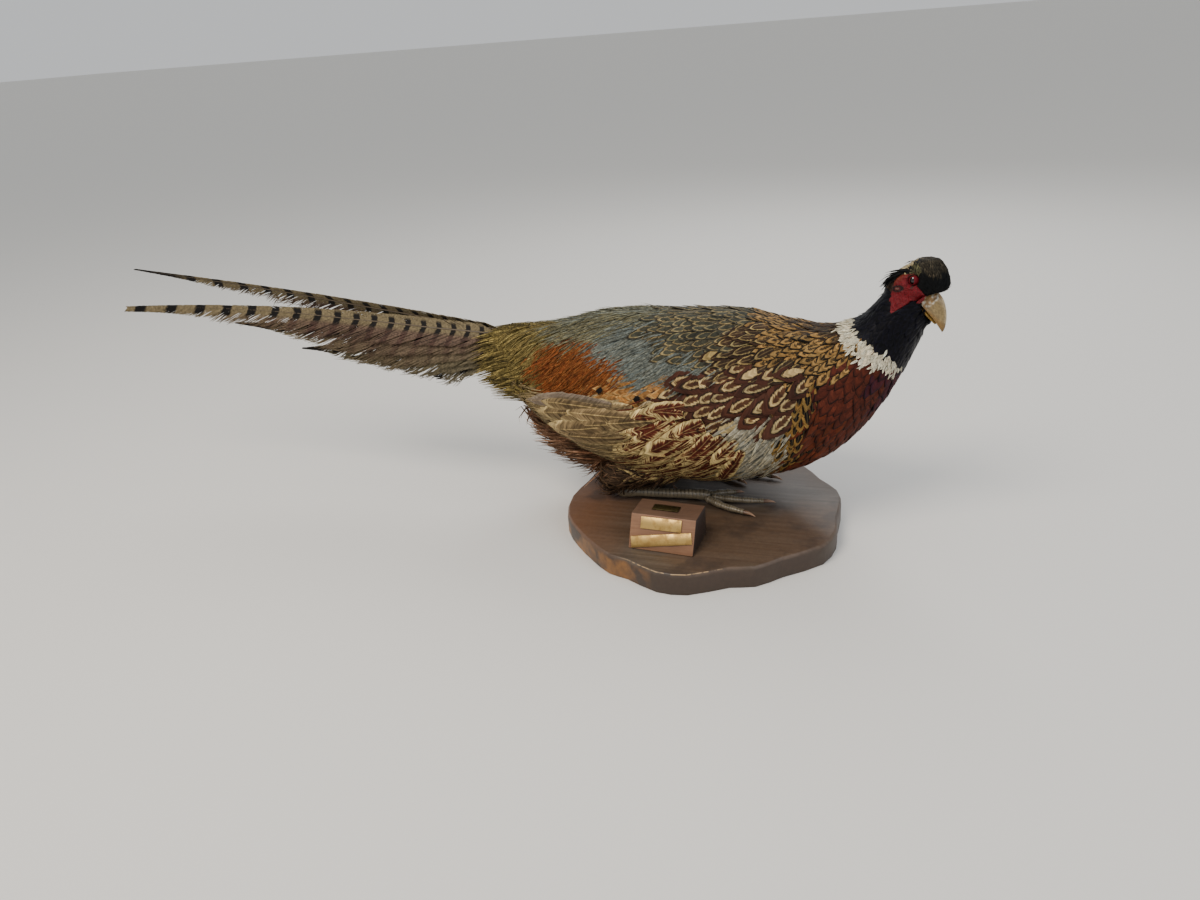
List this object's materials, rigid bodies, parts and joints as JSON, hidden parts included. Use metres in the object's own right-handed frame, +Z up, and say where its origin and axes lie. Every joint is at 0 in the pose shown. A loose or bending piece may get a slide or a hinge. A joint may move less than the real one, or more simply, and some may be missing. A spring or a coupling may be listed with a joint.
{
  "type": "taxidermy pheasant",
  "caption": "Mounted ring-necked cock pheasant, crouching with a long barred tail, on a round natural-edge wooden base with a small name block.",
  "frame": {"origin": "centre of the base slab's underside", "axes": "+X the way the bird's body points, +Y its left side, +Z up"},
  "size_m": [0.8619, 0.2551, 0.2506],
  "materials": {
    "body_feathers": "copper, gold and grey contour feathers with dark and cream marks, soft sheen",
    "vent_feathers": "soft hairy brown feathers, matt",
    "neck_feathers": "glossy blue-green black feathers with a white collar",
    "head_feathers": "short green-black feathers, crown browner",
    "wing_feathers": "maroon, buff and blue-grey wing feathers, streaked with cream",
    "tail_feathers": "olive-buff vanes with black bars and a purple-brown fringe",
    "leg_feathers": "short dark brown feathers, matt",
    "bare_skin": "red bare skin, finely pimpled",
    "horn": "pale horn with a soft shine",
    "claw": "pale horn",
    "leg_scales": "dark dry scaled skin, varnished",
    "eye_glass": "dark brown glass eye",
    "slab_wood": "dark stained and varnished, worn at its edge",
    "block_wood": "reddish stained block, satin",
    "brass": "dull satin brass, plain",
    "dark_brass": "brass gone dark, plain"
  },
  "bodies": {
    "root": {"tail_coverts": "body_feathers", "trunk": "body_feathers", "vent_feathers": "vent_feathers", "neck": "neck_feathers", "head": "head_feathers", "bill_upper": "horn", "bill_lower": "horn", "eye_right": "eye_glass", "wattle_right": "bare_skin", "ear_tuft_right": "head_feathers", "wing_right": "wing_feathers", "tail_feather_right_1": "tail_feathers", "tail_feather_right_2": "tail_feathers", "tail_feather_right_3": "tail_feathers", "tail_feather_right_4": "tail_feathers", "tail_feather_right_5": "tail_feathers", "tail_feather_right_6": "tail_feathers", "thigh_right": "leg_feathers", "shank_right": "leg_scales", "spur_right": "claw", "toe_inner_right": "leg_scales", "claw_inner_right": "claw", "toe_middle_right": "leg_scales", "claw_middle_right": "claw", "toe_outer_right": "leg_scales", "claw_outer_right": "claw", "toe_hind_right": "leg_scales", "claw_hind_right": "claw", "eye_left": "eye_glass", "wattle_left": "bare_skin", "ear_tuft_left": "head_feathers", "wing_left": "wing_feathers", "tail_feather_left_1": "tail_feathers", "tail_feather_left_2": "tail_feathers", "tail_feather_left_3": "tail_feathers", "tail_feather_left_4": "tail_feathers", "tail_feather_left_5": "tail_feathers", "tail_feather_left_6": "tail_feathers", "thigh_left": "leg_feathers", "shank_left": "leg_scales", "spur_left": "claw", "toe_inner_left": "leg_scales", "claw_inner_left": "claw", "toe_middle_left": "leg_scales", "claw_middle_left": "claw", "toe_outer_left": "leg_scales", "claw_outer_left": "claw", "toe_hind_left": "leg_scales", "claw_hind_left": "claw", "base_slab": "slab_wood", "name_block": "block_wood", "name_plate_upper": "brass", "name_plate_lower": "brass", "name_plate_top": "dark_brass"}
  },
  "joints": []
}
